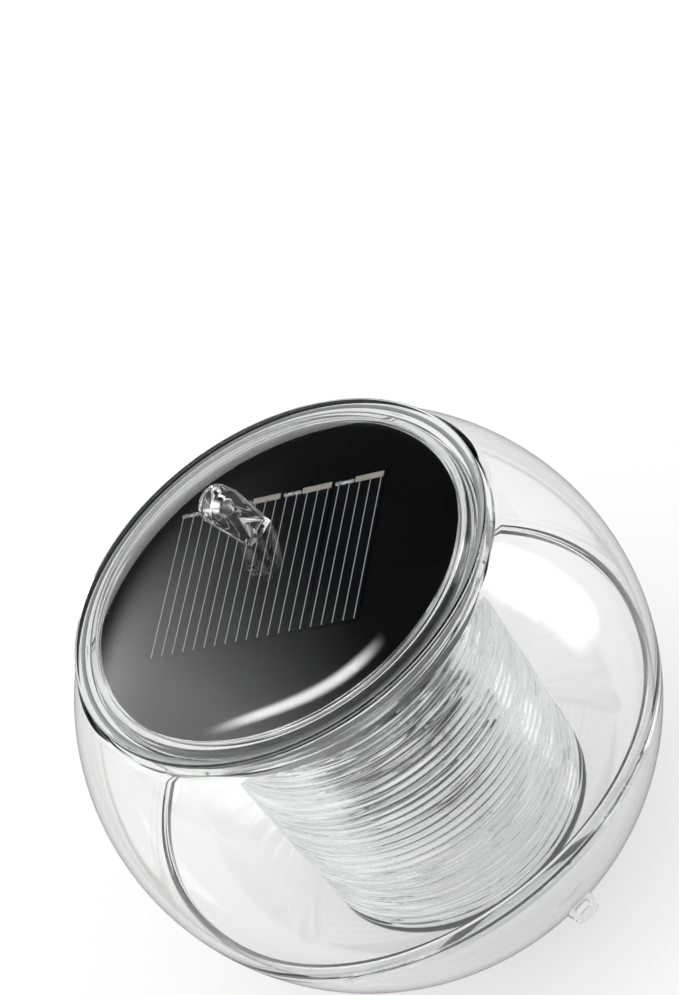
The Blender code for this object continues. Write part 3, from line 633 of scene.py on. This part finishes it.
def make_cap():
    centre = crown - dome_radius
    inner_dome = dome_radius - wall
    shoulder = 0.0384
    rim = 0.0005
    rounding = 0.0002
    thread_rows = 14
    profile = arc(centre, dome_radius, 90, math.degrees(math.acos(shoulder / dome_radius)), 44)
    profile[0] = (0.0, crown)
    profile += fillet(rim_radius - rim, rim_top - rim, rim, 90, 0, 6)
    profile += fillet(rim_radius - rim, rim_bottom + rim, rim, 0, -90, 6)
    profile += [(skirt_outer, rim_bottom - (rim_bottom - skirt_bottom - rounding) * row / thread_rows)
                for row in range(thread_rows + 1)]
    profile += [(skirt_outer - rounding, skirt_bottom), (skirt_inner, skirt_bottom)]
    profile += arc(centre, inner_dome, math.degrees(math.acos(skirt_inner / inner_dome)), 90, 40)
    profile[-1] = (0.0, crown - wall)

    def thread(r, z, angle):
        height = z - globe_centre.z
        if abs(r - skirt_outer) > 1e-6 or not skirt_bottom + 0.0004 < height < rim_bottom - 0.0003:
            return 0.0
        return -thread_depth * (0.5 + 0.5 * math.cos(2 * math.pi * height / thread_pitch - angle))

    cap = lathe("cap_moulding", lift(profile), globe_steps, wobble=thread)
    mounted(cap, clear_plastic("cap_plastic", (0.99, 0.992, 0.99)), "cap", "clear_cap", "clear_cap")


def carve(piece, cutter):
    """Cut one piece out of another for good."""
    cut = piece.modifiers.new("cut", "BOOLEAN")
    cut.operation = "DIFFERENCE"
    cut.solver = "EXACT"
    cut.object = cutter
    done = bpy.data.meshes.new_from_object(piece.evaluated_get(bpy.context.evaluated_depsgraph_get()))
    piece.modifiers.clear()
    piece.data = done
    bpy.data.objects.remove(cutter)


def make_eye():
    length = 0.0133
    root_width = 0.0059
    head_radius = 0.00365
    hole_radius = 0.0016
    sink = 0.0005
    thickness = 0.0040
    head = length - head_radius
    outline = [(-root_width / 2, -sink), (root_width / 2, -sink)]
    outline += fillet(0.0, head, head_radius, -4, 184, 28)
    hole = fillet(0.0, head, hole_radius, 360, 15, 23)
    stance = (Matrix.Translation((0.0020, 0.0, globe_centre.z + crown))
              @ Matrix.Rotation(math.radians(-12.8), 4, "Y") @ Matrix.Rotation(math.radians(18.3), 4, "Z")
              @ Matrix.Rotation(math.radians(90), 4, "X"))
    eye = cut_plate("hanging_eye", [outline, hole], thickness, 0.00035, stance)
    corners = [(-0.0002, 0.0046), (0.0001, 0.0009), (0.0023, 0.0010)]
    carve(eye, cut_plate("eye_pocket", [corners], 0.0020, 0.0001,
                         stance @ Matrix.Translation((0.0, 0.0, thickness / 2))))
    mounted(eye, clear_plastic("eye_plastic", (0.995, 0.995, 0.995), smeared=0.02), "cap", "clear_cap")


make_cap()
make_eye()

# ---------------------------------------------------------------- solar panel
# A round board flooded with glossy black epoxy. Four silicon strips lie side by side on it, each with
# printed silver fingers, a line of solder and a tinned ribbon along its far edge.
panel_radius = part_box("panel_board")[1].x
panel_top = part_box("panel_board")[1].z
panel_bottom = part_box("panel_board")[0].z
cell_width = 0.0430
cell_length = 0.0340
cell_offset = 0.0043
cell_turn = math.radians(-36.9)
strip_count = 4
finger_count = 20
strip_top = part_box("cell_strip_1")[1].z
on_panel = Matrix.Translation((0.0, cell_offset, 0.0)) @ Matrix.Rotation(cell_turn, 4, "Z")


def dress(node, look, edge=0.0):
    """Give a CAD node its material, and round its edges over if asked."""
    part = cad[node]
    part.data.materials.clear()
    part.data.materials.append(look)
    if edge:
        round_over = part.modifiers.new("edges", "BEVEL")
        round_over.width = edge
        round_over.segments = 3
        round_over.limit_method = "ANGLE"
        round_over.harden_normals = True
    return part


def make_board():
    edge = 0.0003
    profile = [(0.0, panel_top)] + fillet(panel_radius - edge, panel_top - edge, edge, 90, 0, 5)
    profile += [(panel_radius, panel_bottom), (0.0, panel_bottom)]
    board = lathe("panel_disc", profile, globe_steps)
    look = skin("black_epoxy", (0.0035, 0.0035, 0.0038), (0.006, 0.006, 0.007), (0.10, 0.22),
                patch_scale=60.0, grain_scale=700.0, grain=0.03, specular=0.12)
    mounted(board, look, "cap", "panel_black", "panel_board")


def silicon_look():
    """Dark coated silicon with the faint flakes of cast crystal."""
    look = bpy.data.materials.new("coated_silicon")
    look.use_nodes = True
    nodes, links = look.node_tree.nodes, look.node_tree.links
    shader = nodes["Principled BSDF"]
    shader.inputs["Roughness"].default_value = 0.30
    shader.inputs["Specular IOR Level"].default_value = 0.10
    place = nodes.new("ShaderNodeTexCoord")
    flakes = nodes.new("ShaderNodeTexVoronoi")
    flakes.inputs["Scale"].default_value = 420.0
    shade = nodes.new("ShaderNodeValToRGB")
    shade.color_ramp.elements[0].color = (0.0032, 0.0033, 0.0040, 1)
    shade.color_ramp.elements[1].color = (0.0065, 0.0068, 0.0085, 1)
    split = nodes.new("ShaderNodeSeparateColor")
    links.new(place.outputs["Object"], flakes.inputs["Vector"])
    links.new(flakes.outputs["Color"], split.inputs[0])
    links.new(split.outputs[0], shade.inputs[0])
    links.new(shade.outputs[0], shader.inputs["Base Color"])
    return look


def bead(shape, draw, start, end, across, base, width, height, flat, uneven):
    """A line of metal along X on the silicon: a rounded or flat section with uneven edges."""
    stations = 28
    section = 9
    rows = []
    for station in range(stations + 1):
        share = station / stations
        taper = min(1.0, 0.35 + (1 - flat) + 8 * min(share, 1 - share))
        wide = width / 2 * taper * (1 + uneven * draw.uniform(-1, 1))
        tall = height * taper * (1 + 1.5 * uneven * draw.uniform(-1, 1))
        row = []
        for point in range(section):
            angle = math.pi * point / (section - 1)
            side = math.copysign(abs(math.cos(angle)) ** flat, math.cos(angle))
            row.append(shape.verts.new((start + (end - start) * share, across + wide * side,
                                        base + tall * abs(math.sin(angle)) ** flat)))
        rows.append(row)
    for one, other in zip(rows, rows[1:]):
        for point in range(section - 1):
            shape.faces.new((one[point], other[point], other[point + 1], one[point + 1]))
        shape.faces.new((one[0], one[-1], other[-1], other[0]))
    shape.faces.new(rows[0])
    shape.faces.new(reversed(rows[-1]))


def make_cell():
    silicon = silicon_look()
    tin = skin("tinned_copper", (0.96, 0.92, 0.82), (0.86, 0.81, 0.72), (0.30, 0.5), patch_scale=900.0,
               grain_scale=4000.0, grain=0.4, metal=0.1)
    solder = skin("bright_solder", (0.93, 0.93, 0.94), (0.74, 0.75, 0.76), (0.16, 0.35), patch_scale=1100.0,
                  grain=0.5, metal=0.3)
    silver = skin("silver_print", (0.92, 0.93, 0.94), (0.74, 0.75, 0.76), (0.4, 0.6), patch_scale=1500.0)
    draw = random.Random(11)
    pitch = cell_width / strip_count
    far_edge = cell_length / 2
    ribbon_width = 0.0013
    fingers = bmesh.new()
    finger_pitch = (cell_width - 0.0014) / (finger_count - 1)
    for finger in range(finger_count):
        x = -cell_width / 2 + 0.0006 + finger * finger_pitch
        near = -far_edge + 0.0002
        bmesh.ops.create_cube(fingers, size=1.0, matrix=(
            on_panel @ Matrix.Translation((x, (near + far_edge - 0.0004) / 2, strip_top + 0.00001))
            @ Matrix.Diagonal((0.00019, far_edge - 0.0004 - near, 0.00003, 1.0))))
    mounted(finished("silver_fingers", fingers), silver, "cap", "tinned_ribbon")
    for number in range(strip_count):
        dress(f"cell_strip_{number + 1}", silicon)
        left = -cell_width / 2 + number * pitch + 0.0004
        right = left + pitch - 0.0007
        step = left + (right - left) * draw.uniform(0.36, 0.44)
        line = bmesh.new()
        bead(line, draw, left, step, far_edge - 0.0006, strip_top, 0.0008, 0.00035, 0.9, 0.28)
        line.transform(on_panel)
        bmesh.ops.recalc_face_normals(line, faces=line.faces)
        mounted(finished(f"solder_line_{number + 1}", line), solder, "cap", "tinned_ribbon")
        strap = bmesh.new()
        bead(strap, draw, step + 0.0002, right, far_edge - 0.00045, strip_top, ribbon_width, 0.00022,
             0.35, 0.05)
        strap.transform(on_panel)
        bmesh.ops.recalc_face_normals(strap, faces=strap.faces)
        mounted(finished(f"tinned_strap_{number + 1}", strap), tin, "cap", "tinned_ribbon",
                f"bus_ribbon_{number + 1}")


make_board()
make_cell()

# ---------------------------------------------------------------- lamp housing
# A white satin cup that hangs under the panel by a thin flange; three screw bosses stand inside its wall,
# each tied to it by a web.
housing_radius = 0.0255
housing_wall = 0.0012
housing_flange = 0.0361
housing_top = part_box("lamp_housing")[1].z
housing_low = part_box("lamp_housing")[0].z
boss_circle = 0.0203
boss_radius = 0.0022
boss_angles = (90, 210, 330)
white_moulding = skin("white_moulding", (0.80, 0.81, 0.80), (0.76, 0.77, 0.76), (0.38, 0.52),
                      patch_scale=90.0, grain_scale=3500.0)


def tube(shape, x, y, outer, inner, low, high, steps=32):
    """A boss: an upright tube with a chamfered mouth, standing on (x, y)."""
    chamfer = 0.0002
    section = [(outer, high), (inner + chamfer, high), (inner, high - chamfer), (inner, low + chamfer),
               (inner + chamfer, low), (outer - chamfer, low), (outer, low + chamfer)]
    rows = []
    for r, z in section:
        rows.append([shape.verts.new((x + r * math.cos(2 * math.pi * i / steps),
                                      y + r * math.sin(2 * math.pi * i / steps), z)) for i in range(steps)])
    for one, other in zip(rows, rows[1:] + rows[:1]):
        for i in range(steps):
            after = (i + 1) % steps
            shape.faces.new((one[i], other[i], other[after], one[after]))


def boss_places():
    return [(boss_circle * math.cos(math.radians(a)), boss_circle * math.sin(math.radians(a)),
             math.radians(a))
            for a in boss_angles]


def make_housing():
    bore = housing_radius - housing_wall
    flange_low_side = housing_top - 0.0010
    edge = 0.0003
    profile = [(bore, housing_top), (housing_flange - edge, housing_top),
               (housing_flange, housing_top - edge),
               (housing_flange, flange_low_side), (housing_radius + edge * 2, flange_low_side)]
    profile += fillet(housing_radius + edge * 2, flange_low_side - edge * 2, edge * 2, 90, 180)
    profile += fillet(housing_radius - edge, housing_low + edge, edge, 0, -90)
    profile += [(bore, housing_low)]
    housing = lathe("housing_moulding", profile, 96, ring=True)
    mounted(housing, white_moulding, "cap", "white_housing", "lamp_housing")
    bosses = bmesh.new()
    boss_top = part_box("circuit_board")[0].z - gap
    for x, y, angle in boss_places():
        tube(bosses, x, y, boss_radius, 0.00115, housing_low, boss_top)
        reach = bore + housing_wall / 2 - boss_circle - boss_radius * 0.8
        middle = boss_circle + boss_radius * 0.8 + reach / 2
        bmesh.ops.create_cube(bosses, size=1.0, matrix=(
            Matrix.Translation((middle * math.cos(angle), middle * math.sin(angle),
                                (housing_low + boss_top) / 2))
            @ Matrix.Rotation(angle, 4, "Z")
            @ Matrix.Diagonal((reach, 0.0016, boss_top - housing_low - 0.0004, 1.0))))
    bmesh.ops.recalc_face_normals(bosses, faces=bosses.faces)
    mounted(finished("screw_bosses", bosses), white_moulding, "cap", "white_housing")


make_housing()

# ---------------------------------------------------------------- cover and screws
# A white disc that closes the housing, held by three zinc-plated pan-head screws. It has a hole for the
# lamp's wires and a slot for the switch.
cover_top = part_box("housing_cover")[1].z
cover_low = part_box("housing_cover")[0].z
switch_y = -0.0168


def make_cover():
    edge = 0.0002
    mouth = 0.0029
    profile = [(mouth, cover_top), (housing_radius - edge, cover_top), (housing_radius, cover_top - edge)]
    profile += fillet(housing_radius - 0.0004, cover_low + 0.0004, 0.0004, 0, -90)
    profile += [(mouth + edge, cover_low), (mouth, cover_low + edge)]
    cover = lathe("cover_disc", profile, 96, ring=True)
    depth = 0.004
    middle = (cover_top + cover_low) / 2
    corners = [(0.0027, -0.0013), (0.0027, 0.0013), (-0.0027, 0.0013), (-0.0027, -0.0013)]
    carve(cover, cut_plate("slot_cutter", [corners], depth, 0.00001,
                           Matrix.Translation((0.0, switch_y, middle))))
    for number, (x, y, angle) in enumerate(boss_places()):
        round_hole = fillet(0.0, 0.0, 0.0012, 0, 345, 23)
        carve(cover, cut_plate(f"hole_cutter_{number}", [round_hole], depth, 0.00001,
                               Matrix.Translation((x, y, middle))))
    mounted(cover, white_moulding, "cap", "white_housing", "housing_cover")


def make_screws():
    zinc = skin("zinc_plate", (0.68, 0.69, 0.71), (0.52, 0.54, 0.57), (0.22, 0.42), patch_scale=500.0,
                metal=1.0)
    head_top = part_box("housing_cover")[0].z - gap
    head_height = 0.0012
    head = 0.0019
    shank = 0.0009
    shank_top = cover_top + 0.0065
    recess = 0.0005
    for number, (x, y, angle) in enumerate(boss_places(), start=1):
        profile = [(0.0, shank_top), (shank * 0.4, shank_top), (shank, shank_top - 0.0009), (shank, head_top),
                   (head, head_top), (head, head_top - head_height * 0.45)]
        profile += fillet(head * 0.6, head_top - head_height * 0.55, head * 0.4, 0, -60, 5)[1:]
        profile += [(head * 0.5, head_top - head_height), (0.0, head_top - head_height)]
        screw = lathe(f"pan_screw_{number}", profile, 40)
        screw.data.transform(Matrix.Translation((x, y, 0.0)))
        for arm, (wide, deep) in enumerate(((0.0020, 0.0005), (0.0005, 0.0020))):
            corners = [(wide / 2, -deep / 2), (wide / 2, deep / 2), (-wide / 2, deep / 2),
                       (-wide / 2, -deep / 2)]
            carve(screw, cut_plate(f"recess_{number}_{arm}", [corners], 2 * recess, 0.00001,
                                   Matrix.Translation((x, y, head_top - head_height))))
        mounted(screw, zinc, "cap", "screw_steel", f"cover_screw_{number}")


make_cover()
make_screws()

# ---------------------------------------------------------------- lamp stem
# A black satin tube welded under the cover. It carries the lamp half way down the column, so the ribs
# are lit from the middle, and it shows through them as dark streaks.
stem_radius = 0.0135
stem_wall = 0.0012
stem_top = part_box("lamp_stem")[1].z
stem_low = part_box("lamp_stem")[0].z
lamp_hole = 0.0027


def make_stem():
    edge = 0.0006
    bore = stem_radius - stem_wall
    floor = stem_low + stem_wall
    profile = [(lamp_hole, floor), (bore, floor), (bore, stem_top), (stem_radius, stem_top)]
    profile += fillet(stem_radius - edge, stem_low + edge, edge, 0, -90, 6)
    profile += [(lamp_hole + 0.0002, stem_low), (lamp_hole, stem_low + 0.0002)]
    stem = lathe("stem_tube", profile, 72, ring=True)
    look = skin("black_moulding", (0.014, 0.014, 0.015), (0.022, 0.022, 0.023), (0.35, 0.5))
    mounted(stem, look, "cap", "black_plastic", "lamp_stem")
    return look


black_moulding = make_stem()

# ---------------------------------------------------------------- driver board
# A round green circuit board rests on the bosses with a driver chip, a choke and a capacitor under it.


def board_look():
    """Green solder mask over copper tracks, which show as slightly raised paler lines."""
    look = bpy.data.materials.new("solder_mask")
    look.use_nodes = True
    nodes, links = look.node_tree.nodes, look.node_tree.links
    shader = nodes["Principled BSDF"]
    shader.inputs["Roughness"].default_value = 0.35
    place = nodes.new("ShaderNodeTexCoord")
    tracks = nodes.new("ShaderNodeTexBrick")
    tracks.inputs["Scale"].default_value = 260.0
    tracks.inputs["Mortar Size"].default_value = 0.035
    tracks.inputs["Color1"].default_value = (0.020, 0.135, 0.060, 1)
    tracks.inputs["Color2"].default_value = (0.026, 0.160, 0.072, 1)
    tracks.inputs["Mortar"].default_value = (0.075, 0.30, 0.13, 1)
    rise = nodes.new("ShaderNodeBump")
    rise.inputs["Strength"].default_value = 0.3
    rise.inputs["Distance"].default_value = 0.00003
    links.new(place.outputs["Object"], tracks.inputs["Vector"])
    links.new(tracks.outputs["Color"], shader.inputs["Base Color"])
    links.new(tracks.outputs["Fac"], rise.inputs["Height"])
    links.new(rise.outputs[0], shader.inputs["Normal"])
    return look


dress("circuit_board", board_look(), 0.00008)
dress("driver_chip", black_moulding, 0.00012)
dress("driver_choke", skin("choke_coating", (0.10, 0.32, 0.16), (0.07, 0.25, 0.12), (0.25, 0.4)), 0.0003)
dress("smoothing_capacitor", skin("capacitor_sleeve", (0.03, 0.05, 0.16), (0.02, 0.035, 0.12), (0.25, 0.4)),
      0.0002)

# ---------------------------------------------------------------- lamp
# A clear 5 mm lamp, cast in epoxy round its steel lead frame. It looks down through the stem's end and
# its two short legs are soldered to the wires.
lamp_radius = 0.0025
lamp_flange = 0.0029
lamp_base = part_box("led_lamp")[1].z
lamp_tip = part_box("led_lamp")[0].z
bright_lead = skin("bright_lead", (0.78, 0.77, 0.74), (0.62, 0.61, 0.58), (0.2, 0.4), patch_scale=600.0,
                   metal=1.0)


def make_lamp():
    flange_height = 0.0010
    profile = [(0.0, lamp_base), (lamp_flange - 0.0001, lamp_base), (lamp_flange, lamp_base - 0.0001),
               (lamp_flange, lamp_base - flange_height), (lamp_radius, lamp_base - flange_height)]
    profile += fillet(0.0, lamp_tip + lamp_radius, lamp_radius, 0, -90, 14)
    profile[-1] = (0.0, lamp_tip)
    lamp = lathe("epoxy_lamp", profile, 48)
    epoxy = clear_plastic("lamp_epoxy", (0.97, 0.98, 0.985), ripple=0.05)
    mounted(lamp, epoxy, "cap", "led_epoxy", "led_lamp")
    anvil = bmesh.new()
    for x, width in ((-0.0009, 0.0010), (0.0007, 0.0016)):
        bmesh.ops.create_cube(anvil, size=1.0, matrix=(
            Matrix.Translation((x, 0.0, lamp_base - 0.0024)) @ Matrix.Diagonal((width, 0.0005, 0.0032, 1.0))))
    mounted(finished("lead_frame", anvil), bright_lead, "cap", "nickel_contact")
    for side in ("positive", "negative"):
        dress(f"led_leg_{side}", bright_lead, 0.00006)


make_lamp()

# ---------------------------------------------------------------- cell and holder
# A small rechargeable cell in a green shrink sleeve lies in an open black holder, pressed by a coil
# spring on a nickel-plated contact.


def make_battery():
    low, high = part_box("rechargeable_cell")
    radius = (high.y - low.y) / 2
    length = high.x - low.x
    nub = 0.0010
    fold = 0.0006
    half = (length - nub) / 2
    stance = Matrix.Translation((low.x + half, (low.y + high.y) / 2, (low.z + high.z) / 2)) @ Matrix.Rotation(
        math.radians(90), 4, "Y")
    can = [(0.0, half + nub), (0.0017, half + nub), (0.0020, half + nub - 0.0003), (0.0020, half),
           (radius - fold, half), (radius - 0.0003, half - fold), (radius - 0.0003, -half + fold),
           (radius - fold, -half), (0.0, -half)]
    sleeve = [(radius - 0.0013, half - 0.0001)] + fillet(radius - 0.0004, half - 0.0005, 0.0004, 90, 0)
    sleeve += fillet(radius - 0.0004, -half + 0.0005, 0.0004, 0, -90) + [(radius - 0.0013, -half + 0.0001)]
    sleeve += [(radius - 0.0002, -half + 0.0008), (radius - 0.0002, half - 0.0008)]
    steel = skin("nickel_plate", (0.72, 0.70, 0.66), (0.60, 0.58, 0.54), (0.2, 0.38), patch_scale=500.0,
                 metal=1.0)
    film = skin("shrink_sleeve", (0.06, 0.28, 0.12), (0.05, 0.23, 0.10), (0.22, 0.38), grain_scale=900.0)
    for name, profile, ring, look, slot_name, nodes in (
            ("cell_can", can, False, steel, "nickel_contact", ()),
            ("cell_sleeve", sleeve, True, film, "cell_sleeve", ("rechargeable_cell",))):
        piece = lathe(name, profile, 56, ring=ring)
        piece.data.transform(stance)
        mounted(piece, look, "cap", slot_name, *nodes)
    for node in ("positive_contact", "negative_contact", "switch_body"):
        dress(node, steel, 0.00008)
    dress("contact_spring", steel)
    dress("cell_holder", black_moulding, 0.0002)


make_battery()

# ---------------------------------------------------------------- switch and wires
# A small slide switch behind the cover's slot; its black slider travels 2 mm. Thin insulated wires run
# from the panel, the cell, the switch and the lamp to the board.


def make_wiring():
    red = skin("red_insulation", (0.50, 0.02, 0.02), (0.42, 0.015, 0.015), (0.3, 0.45), patch_scale=400.0)
    black = skin("black_insulation", (0.018, 0.018, 0.018), (0.03, 0.03, 0.03), (0.3, 0.45),
                 patch_scale=400.0)
    blue = skin("blue_insulation", (0.03, 0.08, 0.40), (0.025, 0.06, 0.33), (0.3, 0.45), patch_scale=400.0)
    for node in ("panel_wire_red", "battery_wire_red", "lamp_wire_red"):
        dress(node, red)
    for node in ("panel_wire_black", "battery_wire_black", "lamp_wire_black"):
        dress(node, black)
    dress("switch_wire_blue", blue)
    dress("switch_slider", black_moulding, 0.00015)


make_wiring()
